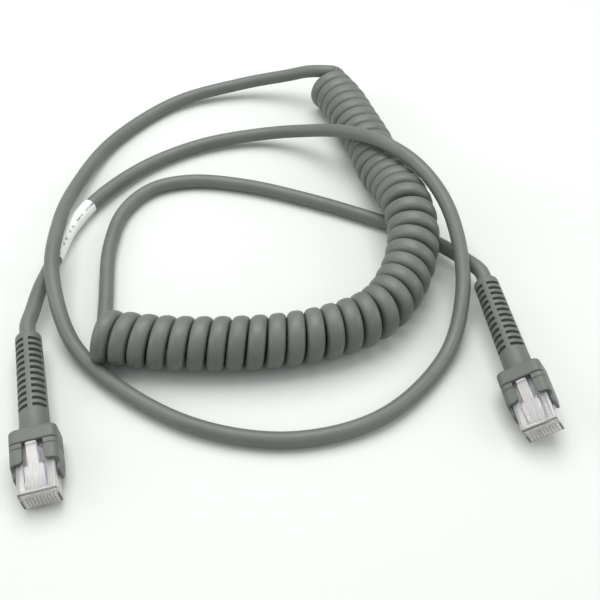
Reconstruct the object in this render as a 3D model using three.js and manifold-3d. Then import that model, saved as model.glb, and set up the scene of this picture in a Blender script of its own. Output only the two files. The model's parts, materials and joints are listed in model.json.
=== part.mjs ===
// Coiled interface cable with a hooded ten-way modular plug at each end, lying on a table.
// Millimetres. +X runs along the table from the host plug to the scanner plug, +Y runs away from both
// plugs' noses, +Z is up and the table is z = 0. The origin is on the table, midway between the plugs.

import * as THREE from 'three';
import { mergeVertices } from 'three/addons/utils/BufferGeometryUtils.js';
import Module from 'manifold-3d';

const wasm = await Module();
wasm.setup();

// ---------------------------------------------------------------- driving dimensions

const GAP = 0.3;                 // clearance between neighbouring pieces

const JACKET_R = 2.7;            // radius of the cable's jacket
const COIL_R = 9.5;              // outer radius of the coiled stretch
const WIRE_R = 0.31;             // radius of one insulated wire
const WAYS = 10;                 // wires and contacts in a plug
const WAY_PITCH = 1.016;         // spacing of the contacts across the plug

const PLUG_W = 11.68;            // modular plug: width, height and length
const PLUG_H = 8.0;
const PLUG_L = 21.5;
const CHANNEL_W = 6.8;           // channel under the latch, and the height of its floor
const CHANNEL_Z = 2.6;
const NOSE_BAR = 1.6;            // bar left across the nose, in front of the channel

const LATCH_W = 6.0;             // latch: wide root, narrow tab, thickness and lengths from the nose
const TAB_W = 3.3;
const LATCH_T = 1.2;
const LATCH_START = 2.0;
const LATCH_STEP = 8.5;
const LATCH_END = 16.0;
const LATCH_RISE = THREE.MathUtils.degToRad(12);
const HINGE_Z = 3.5;             // height of the living hinge, which lies across the latch's start

const HOOD_W = 15.0;             // grey shroud: outside width, height, corner radius
const HOOD_H = 11.0;
const HOOD_CORNER = 2.2;
const HOOD_TOP = 5.6;            // its top above the plug's axis
const ARM_TIP = -6.6;            // where the side arms, the shroud's front edge and the seam stand
const HOOD_FRONT = -10.1;
const SEAM = -17.6;
const ARM_TOP = 2.6;
const ARM_BOTTOM = -3.4;
const WINDOW_W = 6.4;            // notch over the latch, open from the seam to the front

const SHOULDER = -23.1;          // back of the boot's block, where the tail starts
const SHOULDER_BEVEL = 1.3;
const BOOT_END = -63.4;          // where the cable leaves the boot
const TAIL_R_FRONT = 4.85;
const TAIL_R_BACK = 4.35;
const TAIL_ROUND = 1.3;
const BORE_R = JACKET_R + GAP;
const MOULD_R = 3.4;             // block cast round the wires behind the plug
const MOULD_BACK = -27.6;
const SLOTS = 12;                // strain-relief slots in each of four rows
const SLOT_PITCH = 2.53;
const SLOT_W = 1.15;
const SLOT_DEPTH = 1.0;
const FIRST_SLOT = 4.0;          // from the boot's end to the first slot

// Where each plug lies: nose centre, and how the plug is turned, dipped and rolled.
const HOST = { name: 'host', nose: [-70.2, -42.6, 5.4], yaw: 14.2, dip: 2, roll: 4 };
const SCANNER = { name: 'scanner', nose: [83.2, -19.5, 7.26], yaw: 9, dip: 2, roll: 30 };

// The cable's route where it isn't coiled: the host lead from its boot to the coil's far end,
// then the scanner lead from the coil's near end to its boot.
const HOST_LEAD = [
  [-86.9, 29.8, 7.2], [-86.6, 43.1, 6.2], [-84.6, 59.3, 4.9], [-81.8, 78.3, 3.8], [-73.3, 96.7, 3.7],
  [-56.6, 117.1, 3.2], [-34.1, 131.3, 3.3], [-8.9, 136.3, 5], [10, 131.6, 10.2], [24.9, 120.6, 18],
  [39.2, 106.3, 23.6], [52, 89.9, 24.9], [60.8, 73.9, 21.1], [65, 56.7, 14.6], [64.6, 37.3, 8.2],
  [56.6, 13.7, 3.5], [33.9, -10.9, 3], [6, -19.8, 2.9], [-22.9, -16.1, 2.9], [-49.4, -2.1, 3],
  [-70.8, 18.1, 4.8], [-81.4, 44, 11.8], [-84.2, 70.6, 11.2], [-83.6, 100.7, 5.2], [-73.3, 133.5, 3.1],
  [-48.3, 162.7, 3.2], [-20, 172.2, 6.2], [2, 171.3, 11.5], [11, 168.6, 15.2],
];
const SCANNER_LEAD = [
  [-61.2, 15.3, 2.7], [-63.1, 40.3, 2.7], [-65.6, 68.4, 2.7], [-62.7, 89.1, 2.7], [-53, 102.6, 2.7],
  [-37.6, 107.5, 2.7], [-15, 104.6, 2.7], [10.1, 95.9, 2.75], [37, 83.6, 2.9], [53.7, 73.8, 3.5],
  [65.8, 59.4, 7],
];

// The coil's axis, from its near end to its far end. It rises where the scanner lead passes under it.
const COIL_AXIS = [
  [-57.9, 17, 9.6], [-39.9, 14.5, 9.6], [-19.9, 14, 9.6], [-1.6, 15.2, 9.6], [17.4, 19.6, 9.6],
  [34.9, 29.2, 9.9], [45.1, 46.3, 11], [48.9, 63.1, 13.8], [47.5, 77.1, 15.8], [44.5, 90.6, 13.4],
  [39.9, 105.3, 10.4], [36.1, 122.4, 9.8], [30.7, 138.5, 9.8], [25.9, 152.5, 9.8], [19.4, 165, 9.8],
];

const LABEL_FROM = 41;           // the wrap label, measured along the host lead from its boot
const LABEL_LENGTH = 33;
const LABEL_R = 3.1;
const LABEL_T = 0.2;

// ---------------------------------------------------------------- materials

const grey = () => new THREE.MeshStandardMaterial({ color: 0x6c716c, roughness: 0.6, metalness: 0 });
const clear = () => new THREE.MeshStandardMaterial({ color: 0xe9eeee, roughness: 0.12, metalness: 0 });
const gold = () => new THREE.MeshStandardMaterial({ color: 0xc8a45a, roughness: 0.3, metalness: 1 });
const white = () => new THREE.MeshStandardMaterial({ color: 0xf2f2ee, roughness: 0.55, metalness: 0 });
const nylon = () => new THREE.MeshStandardMaterial({ color: 0xd8d6cc, roughness: 0.5, metalness: 0 });
const WIRE_COLOURS = [
  0xf0f0ec, 0x6b4a2e, 0xb33a2c, 0xd9762b, 0xd8bf3a, 0x3f8a4a, 0x2f5fa8, 0x7a5aa0, 0x8a8a8a, 0x232323,
];

// ---------------------------------------------------------------- shapes and solids

// A closed mesh as a manifold-3d solid.
function solid(geometry) {
  const bare = geometry.clone();
  bare.deleteAttribute('normal');
  bare.deleteAttribute('uv');
  const merged = mergeVertices(bare, 1e-4);
  const mesh = new wasm.Mesh({
    numProp: 3,
    vertProperties: new Float32Array(merged.attributes.position.array),
    triVerts: new Uint32Array(merged.index.array),
  });
  return new wasm.Manifold(mesh);
}

// A manifold-3d solid as a geometry.
function geometryOf(body) {
  const mesh = body.getMesh();
  const geometry = new THREE.BufferGeometry();
  geometry.setAttribute('position', new THREE.BufferAttribute(new Float32Array(mesh.vertProperties), 3));
  geometry.setIndex(new THREE.BufferAttribute(new Uint32Array(mesh.triVerts), 1));
  geometry.computeVertexNormals();
  return geometry;
}

const cut = (body, tools) => tools.reduce((rest, tool) => rest.subtract(tool), body);

function box(x0, x1, y0, y1, z0, z1) {
  const geometry = new THREE.BoxGeometry(x1 - x0, y1 - y0, z1 - z0);
  return geometry.translate((x0 + x1) / 2, (y0 + y1) / 2, (z0 + z1) / 2);
}

function roundedRectangle(width, height, radius, middle = 0) {
  const w = width / 2 - radius;
  const h = height / 2 - radius;
  const shape = new THREE.Shape();
  shape.absarc(w, middle + h, radius, 0, Math.PI / 2);
  shape.absarc(-w, middle + h, radius, Math.PI / 2, Math.PI);
  shape.absarc(-w, middle - h, radius, Math.PI, 1.5 * Math.PI);
  shape.absarc(w, middle - h, radius, 1.5 * Math.PI, 2 * Math.PI);
  shape.closePath();
  return shape;
}

// A shape drawn across the plug (its x is Y, its y is Z), drawn out along X from x0 to x1.
function alongPlug(shape, x0, x1, bevel = 0) {
  const geometry = new THREE.ExtrudeGeometry(shape, {
    depth: x1 - x0 - 2 * bevel,
    curveSegments: 4,
    bevelEnabled: bevel > 0,
    bevelThickness: bevel,
    bevelSize: bevel,
    bevelOffset: -bevel,
    bevelSegments: 3,
  });
  const turn = new THREE.Matrix4().makeBasis(
    new THREE.Vector3(0, 1, 0), new THREE.Vector3(0, 0, 1), new THREE.Vector3(1, 0, 0));
  return geometry.applyMatrix4(turn).translate(x0 + bevel, 0, 0);
}

// A side profile (its x is X, its y is Z), drawn out across the plug over the given width.
function acrossPlug(points, width, middle = 0) {
  const shape = new THREE.Shape(points.map(([x, z]) => new THREE.Vector2(x, z)));
  const geometry = new THREE.ExtrudeGeometry(shape, { depth: width, bevelEnabled: false });
  const turn = new THREE.Matrix4().makeBasis(
    new THREE.Vector3(1, 0, 0), new THREE.Vector3(0, 0, 1), new THREE.Vector3(0, -1, 0));
  return geometry.applyMatrix4(turn).translate(0, middle + width / 2, 0);
}

// A solid of revolution about the plug's axis. The profile is [x, radius] and closes on the axis.
function turned(profile, sides) {
  const points = profile.map(([x, radius]) => new THREE.Vector2(radius, x));
  const geometry = new THREE.LatheGeometry(points, sides);
  return geometry.rotateZ(-Math.PI / 2);
}

function polygon(radius, sides) {
  const shape = new THREE.Shape();
  for (let i = 0; i < sides; i += 1) {
    const angle = (2 * Math.PI * i) / sides;
    const point = [radius * Math.cos(angle), radius * Math.sin(angle)];
    if (i === 0) shape.moveTo(...point);
    else shape.lineTo(...point);
  }
  shape.closePath();
  return shape;
}

function sweep(section, curve, steps) {
  return new THREE.ExtrudeGeometry(section, { extrudePath: curve, steps, bevelEnabled: false });
}

const smooth = (points) => new THREE.CatmullRomCurve3(
  points.map((p) => new THREE.Vector3(...p)), false, 'centripetal');

// ---------------------------------------------------------------- the plug and its pieces

const wayY = (way) => (way - (WAYS - 1) / 2) * WAY_PITCH;
const SLOT_WALL = 0.5;           // plastic left in front of the contact slots
const SLOT_TOP = 0.3;            // top of the contact slots, and the wires' cavity above them
const WIRE_Z = 0.95;
const CAVITY_FRONT = -2.2;
const REAR_CAVITY = -12.2;

function plugBody() {
  const half = PLUG_W / 2;
  const body = solid(alongPlug(roundedRectangle(PLUG_W, PLUG_H, 0.35), -PLUG_L, 0));
  const tools = [
    box(-PLUG_L - 1, -NOSE_BAR, -CHANNEL_W / 2, CHANNEL_W / 2, CHANNEL_Z, PLUG_H),
    box(-PLUG_L - 1, CAVITY_FRONT, -half + 0.6, half - 0.6, SLOT_TOP - 0.05, 1.5),
    box(-PLUG_L - 1, REAR_CAVITY, -half + 0.6, half - 0.6, -2.6, 1.6),
  ];
  for (let way = 0; way < WAYS; way += 1) {
    tools.push(box(-7.2, -SLOT_WALL, wayY(way) - 0.28, wayY(way) + 0.28, -PLUG_H, SLOT_TOP));
  }
  return geometryOf(cut(body, tools.map(solid)));
}

// The latch springs up to the rear, and steps in from its wide root to its tab. It lies in its free
// place, with two wedges that catch behind the socket's edge.
function latch() {
  const rise = Math.tan(LATCH_RISE);
  const under = (x) => HINGE_Z - 0.5 + (-x - LATCH_START) * rise;
  const strip = (from, to, width) => acrossPlug([
    [-from, under(-from)], [-from, under(-from) + LATCH_T],
    [-to, under(-to) + LATCH_T], [-to, under(-to)],
  ], width);
  const wedge = (side) => acrossPlug([
    [-5.2, under(-5.2) + LATCH_T - 0.1], [-LATCH_STEP, under(-LATCH_STEP) + LATCH_T + 0.9],
    [-LATCH_STEP, under(-LATCH_STEP) + LATCH_T - 0.2],
  ], 1.1, side * (LATCH_W / 2 - 0.55));
  const parts = [strip(LATCH_START - 0.1, LATCH_STEP, LATCH_W), strip(LATCH_STEP - 1, LATCH_END, TAB_W),
    wedge(1), wedge(-1)];
  const joined = parts.map(solid).reduce((all, one) => all.add(one));
  return geometryOf(joined);
}

// A contact blade: its lower edge meets the socket's spring, and two points bite up into the wire.
function contact(way) {
  const outline = [
    [-1.0, -2.6], [-1.7, -3.4], [-6.8, -3.4], [-6.8, -0.9], [-6.2, 0.1], [-5.8, -0.9],
    [-4.4, -0.9], [-4.0, 0.1], [-3.6, -0.9], [-1.0, -0.9],
  ];
  return acrossPlug(outline, 0.3, wayY(way));
}

// A wire: bundled behind the plug, then fanned out to its own contact.
function wire(way) {
  const bundle = (way - (WAYS - 1) / 2) * 0.42;
  const row = way % 2 === 0 ? 0.55 : -0.55;
  const curve = smooth([
    [MOULD_BACK, bundle, row], [-24.5, bundle, row], [-21.8, bundle, row],
    [-16.2, wayY(way), WIRE_Z], [-12, wayY(way), WIRE_Z], [-2.6, wayY(way), WIRE_Z],
  ]);
  return sweep(polygon(WIRE_R, 6), curve, 12);
}

function loadBar() {
  const bar = solid(box(-15.6, -12.6, -5.05, 5.05, -0.6, 1.4));
  const grooves = [];
  for (let way = 0; way < WAYS; way += 1) {
    grooves.push(box(-16, -12, wayY(way) - 0.4, wayY(way) + 0.4, WIRE_Z - WIRE_R - 0.1, 2));
  }
  return geometryOf(cut(bar, grooves.map(solid)));
}

function innerMould() {
  const front = -PLUG_L - GAP;
  const block = solid(turned([[MOULD_BACK, 0], [MOULD_BACK, MOULD_R], [front, MOULD_R], [front, 0]], 20));
  return geometryOf(cut(block, [solid(box(MOULD_BACK - 1, front + 1, -2.4, 2.4, -1.2, 1.2))]));
}

function jacketEnd() {
  const front = MOULD_BACK - GAP;
  return turned([[BOOT_END, 0], [BOOT_END, JACKET_R], [front, JACKET_R], [front, 0]], 16);
}

// The shroud: open at the front with an arm down each side of the plug, and notched over the latch.
function hood() {
  const back = SEAM + GAP / 2;
  const middle = HOOD_TOP - HOOD_H / 2;
  const outside = solid(alongPlug(roundedRectangle(HOOD_W, HOOD_H, HOOD_CORNER, middle), back, ARM_TIP));
  const wide = HOOD_W;
  const pocket = box(back - 1, 1, -PLUG_W / 2 - GAP, PLUG_W / 2 + GAP, -PLUG_H / 2 - GAP, PLUG_H / 2 + GAP);
  const notch = box(back - 1, 1, -WINDOW_W / 2, WINDOW_W / 2, 0, HOOD_H);
  const overArms = box(HOOD_FRONT, 1, -wide, wide, ARM_TOP, HOOD_H);
  const underArms = box(HOOD_FRONT, 1, -wide, wide, -HOOD_H, ARM_BOTTOM);
  return geometryOf(cut(outside, [pocket, notch, overArms, underArms].map(solid)));
}

// One strain-relief slot: a box on the boot's skin, turned to the middle of its quarter.
function slot(index, quarter) {
  const x = BOOT_END + FIRST_SLOT + index * SLOT_PITCH;
  const radius = THREE.MathUtils.lerp(TAIL_R_BACK, TAIL_R_FRONT, (x - BOOT_END) / (SHOULDER - BOOT_END));
  const reach = 4.4;
  const piece = box(-SLOT_W / 2, SLOT_W / 2, -reach / 2, reach / 2, radius - SLOT_DEPTH, radius + 2);
  return piece.rotateX(Math.PI / 4 + (quarter * Math.PI) / 2).translate(x, 0, 0);
}

function boot() {
  const front = SEAM - GAP / 2;
  const middle = HOOD_TOP - HOOD_H / 2;
  const section = roundedRectangle(HOOD_W, HOOD_H, HOOD_CORNER, middle);
  const block = solid(alongPlug(section, SHOULDER, front + 6, SHOULDER_BEVEL));
  const tail = solid(turned([
    [BOOT_END, 0], [BOOT_END, TAIL_R_BACK - TAIL_ROUND], [BOOT_END + 0.4, TAIL_R_BACK - 0.5],
    [BOOT_END + TAIL_ROUND, TAIL_R_BACK], [SHOULDER + 1, TAIL_R_FRONT], [SHOULDER + 1, 0],
  ], 24));
  const tools = [
    box(front, front + 20, -HOOD_W, HOOD_W, -HOOD_H, HOOD_H),
    box(-PLUG_L - GAP, front + 1, -PLUG_W / 2 - GAP, PLUG_W / 2 + GAP, -PLUG_H / 2 - GAP, PLUG_H / 2 + GAP),
    turned([[MOULD_BACK - GAP, 0], [MOULD_BACK - GAP, MOULD_R + GAP], [-20, MOULD_R + GAP], [-20, 0]], 20),
    turned([[BOOT_END - 1, 0], [BOOT_END - 1, BORE_R], [-26, BORE_R], [-26, 0]], 20),
  ];
  for (let index = 0; index < SLOTS; index += 1) {
    for (let quarter = 0; quarter < 4; quarter += 1) tools.push(slot(index, quarter));
  }
  return geometryOf(cut(block.add(tail), tools.map(solid)));
}

// ---------------------------------------------------------------- the assembly

const group = new THREE.Group();

function add(parent, name, geometry, material) {
  const mesh = new THREE.Mesh(geometry, material);
  mesh.name = name;
  parent.add(mesh);
}

function addPlug({ name, nose, yaw, dip, roll }) {
  const plug = new THREE.Group();
  const radians = THREE.MathUtils.degToRad;
  plug.position.set(...nose);
  plug.rotation.set(radians(roll), radians(dip), radians(yaw - 90), 'ZYX');
  add(plug, `${name}_plug_body`, plugBody(), clear());
  add(plug, `${name}_latch`, latch(), clear());
  add(plug, `${name}_load_bar`, loadBar(), nylon());
  for (let way = 0; way < WAYS; way += 1) {
    const number = String(way + 1).padStart(2, '0');
    const colour = new THREE.MeshStandardMaterial({ color: WIRE_COLOURS[way], roughness: 0.5, metalness: 0 });
    add(plug, `${name}_contact_${number}`, contact(way), gold());
    add(plug, `${name}_wire_${number}`, wire(way), colour);
  }
  add(plug, `${name}_inner_mould`, innerMould(), nylon());
  add(plug, `${name}_jacket_end`, jacketEnd(), grey());
  add(plug, `${name}_hood`, hood(), grey());
  add(plug, `${name}_boot`, boot(), grey());
  group.add(plug);
  plug.updateMatrixWorld(true);
  return (x) => new THREE.Vector3(x, 0, 0).applyMatrix4(plug.matrixWorld).toArray();
}

const onHostAxis = addPlug(HOST);
const onScannerAxis = addPlug(SCANNER);

// Each lead runs straight out of its boot for a little way before its route begins.
const hostCurve = smooth([onHostAxis(BOOT_END - GAP), onHostAxis(BOOT_END - 5), ...HOST_LEAD]);
const scannerCurve = smooth([...SCANNER_LEAD, onScannerAxis(BOOT_END - 5), onScannerAxis(BOOT_END - GAP)]);
add(group, 'host_lead', sweep(polygon(JACKET_R, 8), hostCurve, 60), grey());
add(group, 'scanner_lead', sweep(polygon(JACKET_R, 8), scannerCurve, 20), grey());
add(group, 'coil', sweep(polygon(COIL_R, 12), smooth(COIL_AXIS), 26), grey());

// The label is a sleeve that follows its stretch of the host lead.
const along = (distance) => hostCurve.getPointAt(distance / hostCurve.getLength()).toArray();
const labelCurve = smooth([0, 0.25, 0.5, 0.75, 1].map((part) => along(LABEL_FROM + part * LABEL_LENGTH)));
const sleeve = polygon(LABEL_R + LABEL_T, 16);
sleeve.holes.push(polygon(LABEL_R, 16));
add(group, 'label', sweep(sleeve, labelCurve, 8), white());

export default group;
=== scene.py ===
"""Coiled interface cable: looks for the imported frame.

The strand, the label, the boots, the hoods and the clear plugs are finished here. Each plug has its own
space in millimetres: +X out of its nose, +Y to its left, +Z on its latch side, origin at the nose's middle.
"""
import json
import math
from bisect import bisect_right

import bmesh
import bpy
from bpy.props import FloatProperty, FloatVectorProperty, IntProperty, PointerProperty
from bpy.types import Operator, Panel, PropertyGroup
from mathutils import Matrix, Vector

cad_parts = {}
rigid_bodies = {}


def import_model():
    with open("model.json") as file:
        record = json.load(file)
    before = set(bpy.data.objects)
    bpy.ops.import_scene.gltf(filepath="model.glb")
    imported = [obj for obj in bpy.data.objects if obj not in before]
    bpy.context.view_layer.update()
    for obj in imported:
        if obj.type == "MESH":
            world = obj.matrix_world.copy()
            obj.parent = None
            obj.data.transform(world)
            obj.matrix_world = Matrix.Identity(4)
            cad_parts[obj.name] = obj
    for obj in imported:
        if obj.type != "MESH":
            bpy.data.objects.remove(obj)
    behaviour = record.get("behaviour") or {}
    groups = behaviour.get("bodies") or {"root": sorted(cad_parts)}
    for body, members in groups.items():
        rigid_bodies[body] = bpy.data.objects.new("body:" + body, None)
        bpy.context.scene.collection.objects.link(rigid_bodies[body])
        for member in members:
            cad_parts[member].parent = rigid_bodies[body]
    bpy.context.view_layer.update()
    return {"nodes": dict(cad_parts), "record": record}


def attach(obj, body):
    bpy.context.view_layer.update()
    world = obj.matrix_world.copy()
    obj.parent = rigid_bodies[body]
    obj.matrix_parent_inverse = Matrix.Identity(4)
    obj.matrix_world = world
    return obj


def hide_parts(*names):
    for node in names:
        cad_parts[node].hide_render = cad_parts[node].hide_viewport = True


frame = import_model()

bl_info = {
    "name": "Coiled interface cable",
    "version": (1, 0, 0),
    "blender": (4, 5, 0),
    "location": "View3D > Sidebar > Cable",
    "description": "Builds the looks of a coiled interface cable round its packed frame",
    "category": "Object",
}

MM = 0.001
TAU = 2 * math.pi
BODY = "cable"
PLUGS = ("host", "scanner")
WAYS = 10

# ------------------------------------------------------------------ the plug's own space, in millimetres

NOSE_MOUNT_HEIGHT = 2.2     # the nose mount stands this far above the plug's axis
PLUG_HALF_WIDTH = 5.84
PLUG_HALF_HEIGHT = 4.0
PLUG_BACK = -21.5
CLEARANCE = 0.3

HOOD_WIDTH = 15.0
HOOD_HEIGHT = 11.0
HOOD_TOP = 5.6
HOOD_MIDDLE = HOOD_TOP - HOOD_HEIGHT / 2
HOOD_CORNER = 2.2
ARM_TIP = -6.6
HOOD_FRONT = -10.1
SEAM = -17.6
COLLAR_LINE = -15.5         # faint groove round the hood, in front of the seam
GROOVE_HALF_WIDTH = 0.22
ARM_TOP = 2.6
ARM_BOTTOM = -3.4
ARM_CORNER = 1.4            # rounds the arms' roots and tips
WINDOW_WIDTH = 6.4
WINDOW_CORNER = 1.5         # rounds the window's mouth
HOOD_SIDES = 96

SHOULDER = -23.1
SHOULDER_ROUND = 1.3
SHOULDER_FILLET = 0.5
NECK_ROOM = 0.02            # between the shoulder's last ring and the fillet's foot
RIM_ROUND = 0.3             # rounds the boot's front rim
BOOT_END = -63.4
TAIL_FRONT_RADIUS = 4.85
TAIL_BACK_RADIUS = 4.35
TAIL_ROUND = 1.3
MOULD_BACK = -27.6
MOULD_BORE = 3.7
CABLE_BORE = 2.74
BORE_LIP = 0.12             # from the boot's end to the edge of its bore

# Painted shade on the clear nose: its top rim and lower corners are darkened in colour, standing in for
# refraction.
NOSE_SHADE_FROM = -0.72           # painted shade: the nose's rim and corners are darkened from here forwards, standing in for the dark refraction at its edges
NOSE_SHADE_RIM = 0.40             # height of the rim of painted shade, below the nose's top
NOSE_SHADE_CORNER = 0.75          # width of the lower corners of painted shade
NOSE_SHADE_CORNER_TOP = 1.2
RIM_SHADE_FADE = 0.12
CORNER_SHADE_FADE = 0.20

LATCH_HINGE = (-2.0, 3.5)
LATCH_FRONT = -1.80         # clear of the nose's bar when the latch is pressed
LATCH_DROP = 0.5            # from the hinge down to the latch's underside
LATCH_RISE = math.tan(math.radians(12))
LATCH_STEP = -8.5
LATCH_END = -16.0
LATCH_ROOT_WIDTH = 6.0
LATCH_TAB_WIDTH = 3.3
LATCH_THICKNESS = 1.2

# ------------------------------------------------------------------ the cable's route, in metres

# From the host boot to the coil's far end, then from the coil's near end to the scanner boot.
HOST_LEAD = [
    (-0.0869, 0.0298, 0.0072), (-0.0866, 0.0431, 0.0062), (-0.0846, 0.0593, 0.0049),
    (-0.0818, 0.0783, 0.0038), (-0.0733, 0.0967, 0.0037), (-0.0566, 0.1171, 0.0032),
    (-0.0341, 0.1313, 0.0033), (-0.0089, 0.1363, 0.0050), (0.0100, 0.1316, 0.0102),
    (0.0249, 0.1206, 0.0180), (0.0392, 0.1063, 0.0236), (0.0520, 0.0899, 0.0249),
    (0.0608, 0.0739, 0.0211), (0.0650, 0.0567, 0.0146), (0.0646, 0.0373, 0.0082),
    (0.0566, 0.0137, 0.0035), (0.0339, -0.0109, 0.0030), (0.0060, -0.0198, 0.0029),
    (-0.0229, -0.0161, 0.0029), (-0.0494, -0.0021, 0.0030), (-0.0708, 0.0181, 0.0048),
    (-0.0814, 0.0440, 0.0118), (-0.0842, 0.0706, 0.0112), (-0.0836, 0.1007, 0.0052),
    (-0.0733, 0.1335, 0.0031), (-0.0483, 0.1627, 0.0032), (-0.0200, 0.1722, 0.0062),
    (0.0020, 0.1713, 0.0115), (0.0110, 0.1686, 0.0152),
]
SCANNER_LEAD = [
    (-0.0612, 0.0153, 0.0027), (-0.0631, 0.0403, 0.0027), (-0.0656, 0.0684, 0.0027),
    (-0.0627, 0.0891, 0.0027), (-0.0530, 0.1026, 0.0027), (-0.0376, 0.1075, 0.0027),
    (-0.0150, 0.1046, 0.0027), (0.0101, 0.0959, 0.00275), (0.0370, 0.0836, 0.0029),
    (0.0537, 0.0738, 0.0035), (0.0658, 0.0594, 0.0070),
]
COIL_AXIS = [
    (-0.0579, 0.0170, 0.0096), (-0.0399, 0.0145, 0.0096), (-0.0199, 0.0140, 0.0096),
    (-0.0016, 0.0152, 0.0096), (0.0174, 0.0196, 0.0096), (0.0349, 0.0292, 0.0099),
    (0.0451, 0.0463, 0.0110), (0.0489, 0.0631, 0.0138), (0.0475, 0.0771, 0.0158),
    (0.0445, 0.0906, 0.0134), (0.0399, 0.1053, 0.0104), (0.0361, 0.1224, 0.0098),
    (0.0307, 0.1385, 0.0098), (0.0259, 0.1525, 0.0098), (0.0194, 0.1650, 0.0098),
]
STRAIGHT_EXIT = 5.0         # how far a lead runs straight out of its boot, in millimetres
BEND_FROM = 0.092           # along the coil's axis: where the near run ends
RISE_FROM = 0.135           # where the bend ends
FAR_FROM = 0.180            # and where the turns begin to close up
PITCH_BLEND = 0.018
LAST_TURN = 0.50            # share of a turn past its bottom at which the coil lets go of the strand
STOP_SHORT = 0.0025         # the turns may stop this far before the coil's far end
FLAT_BLEND = 22             # points over which the strand goes from round to flattened

LABEL_FROM = 0.041          # along the strand, from the host boot
LABEL_LENGTH = 0.033
LABEL_SIDES = 48
LABEL_STEPS = 40
LABEL_THICKNESS = 0.00016
LABEL_LIFT = 0.00004        # between the jacket and the film
LABEL_START = math.radians(200)
LABEL_OVERLAP = 0.07        # share of the sleeve where the film lies over its own end
LABEL_CLIMB = 0.02          # share of the film that steps up onto its own start
LABEL_STEP_UP = 1.15        # height of that step, in thicknesses of the film
LABEL_ROWS = 12.0
LABEL_COLUMNS = 22.0


# ------------------------------------------------------------------ settings

def metres(name, description, default):
    return FloatProperty(name=name, description=description, default=default, unit="LENGTH", precision=5)


def millimetres(name, description, default):
    return FloatProperty(name=name, description=description, default=default, precision=3)


def colour(name, description, default):
    return FloatVectorProperty(name=name, description=description, default=default, subtype="COLOR",
                               size=3, min=0, max=1)


class StrandSettings(PropertyGroup):
    diameter: metres("Diameter", "Outer diameter of the cable's jacket", 0.0054)
    near_radius: metres("Near radius", "From the axis to the strand's centre at the near end", 0.0068)
    far_radius: metres("Far radius", "From the axis to the strand's centre at the far end", 0.0070)
    near_pitch: metres("Near pitch", "Spacing of the turns along the coil's near run", 0.00638)
    bend_pitch: metres("Bend pitch", "Spacing of the turns round the bend", 0.0067)
    rise_pitch: metres("Rise pitch", "Spacing of the turns past the bend", 0.0061)
    far_pitch: metres("Far pitch", "Spacing of the turns at the coil's far end", 0.00565)
    flat_width: metres("Flat width", "Width along the coil of its flattened strand", 0.0060)
    flat_height: metres("Flat height", "Depth of the coil's flattened strand", 0.0053)
    squareness: FloatProperty(name="Squareness", description="2 is round; more squares the strand off",
                              default=2.7, min=2.0)
    lead_in: metres("Lead-in", "How far the first turn stands before the coil's near end", 0.0030)
    sides: IntProperty(name="Sides", description="Facets round the strand", default=24, min=8)
    steps: IntProperty(name="Steps", description="Points in each turn of the coil", default=30, min=12)


class BootSettings(PropertyGroup):
    slots: IntProperty(name="Slots", description="Slots in each of the four rows", default=12, min=1)
    pitch: millimetres("Slot pitch", "Spacing of the slots along the boot, in millimetres", 2.53)
    first: millimetres("First slot", "From the boot's end to its first slot, in millimetres", 4.0)
    width: millimetres("Slot width", "Width of a slot along the boot, in millimetres", 1.15)
    depth: millimetres("Slot depth", "Depth of a slot below the skin, in millimetres", 1.15)
    half_angle: FloatProperty(name="Slot half angle", description="Half of a slot's sweep round the boot",
                              default=math.radians(33), subtype="ANGLE")
    edge: millimetres("Slot edge", "Width of a slot's rounded rim, in millimetres", 0.16)
    sides: IntProperty(name="Sides", description="Facets round the boot", default=144, min=24)


class HoodSettings(PropertyGroup):
    grain: millimetres("Grain", "Size of the grid that rounds the hood's edges, in millimetres", 0.13)
    rounding: IntProperty(name="Rounding", description="Passes that soften the hood's edges", default=7)
    taper: millimetres("Arm taper", "How much each arm's tip leans inwards, in millimetres", 0.35)
    groove: millimetres("Collar groove", "Depth of the collar groove, in millimetres", 0.28)


class PlugSettings(PropertyGroup):
    edge: metres("Edge round", "Width of the rounded edges of the clear plastic", 0.00012)


class LookSettings(PropertyGroup):
    jacket: colour("Jacket", "Grey of the cable, the boots and the hoods", (0.122, 0.135, 0.121))
    clear: colour("Clear plastic", "Tint of the plug and latch", (1.0, 1.0, 1.0))
    gold: colour("Gold", "Plating of the contacts", (0.80, 0.58, 0.26))
    nylon: colour("Nylon", "Load bars and inner moulds", (0.72, 0.70, 0.64))
    film: colour("Label film", "White film of the wrap label", (0.80, 0.83, 0.80))
    ink: colour("Label marks", "Small printed marks of the label", (0.26, 0.29, 0.27))


class StageSettings(PropertyGroup):
    lens: FloatProperty(name="Lens", description="Focal length in millimetres", default=55.0)
    eye: FloatVectorProperty(name="Eye", description="Where the camera stands",
                             default=(0.0070, -0.1853, 0.2450), subtype="TRANSLATION", unit="LENGTH")
    pitch: FloatProperty(name="Pitch", description="The camera's look down from the horizon",
                         default=math.radians(47), subtype="ANGLE")
    floor: colour("Floor", "Colour of the table", (0.64, 0.665, 0.64))
    sky: FloatProperty(name="Surrounding light", description="Strength of the white surroundings",
                       default=0.62)
    top: FloatProperty(name="Top light", description="Power of the large overhead light", default=6.0,
                       unit="POWER")
    sides: FloatProperty(name="Side lights", description="Power of each side light", default=1.2,
                         unit="POWER")


WIRE_COLOURS = {
    "white": (0.78, 0.78, 0.74), "brown": (0.13, 0.06, 0.03), "red": (0.42, 0.03, 0.02),
    "orange": (0.66, 0.19, 0.03), "yellow": (0.68, 0.54, 0.06), "green": (0.04, 0.24, 0.07),
    "blue": (0.03, 0.10, 0.36), "violet": (0.19, 0.06, 0.30), "grey": (0.24, 0.24, 0.24),
    "black": (0.02, 0.02, 0.02),
}


# ------------------------------------------------------------------ materials

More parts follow.
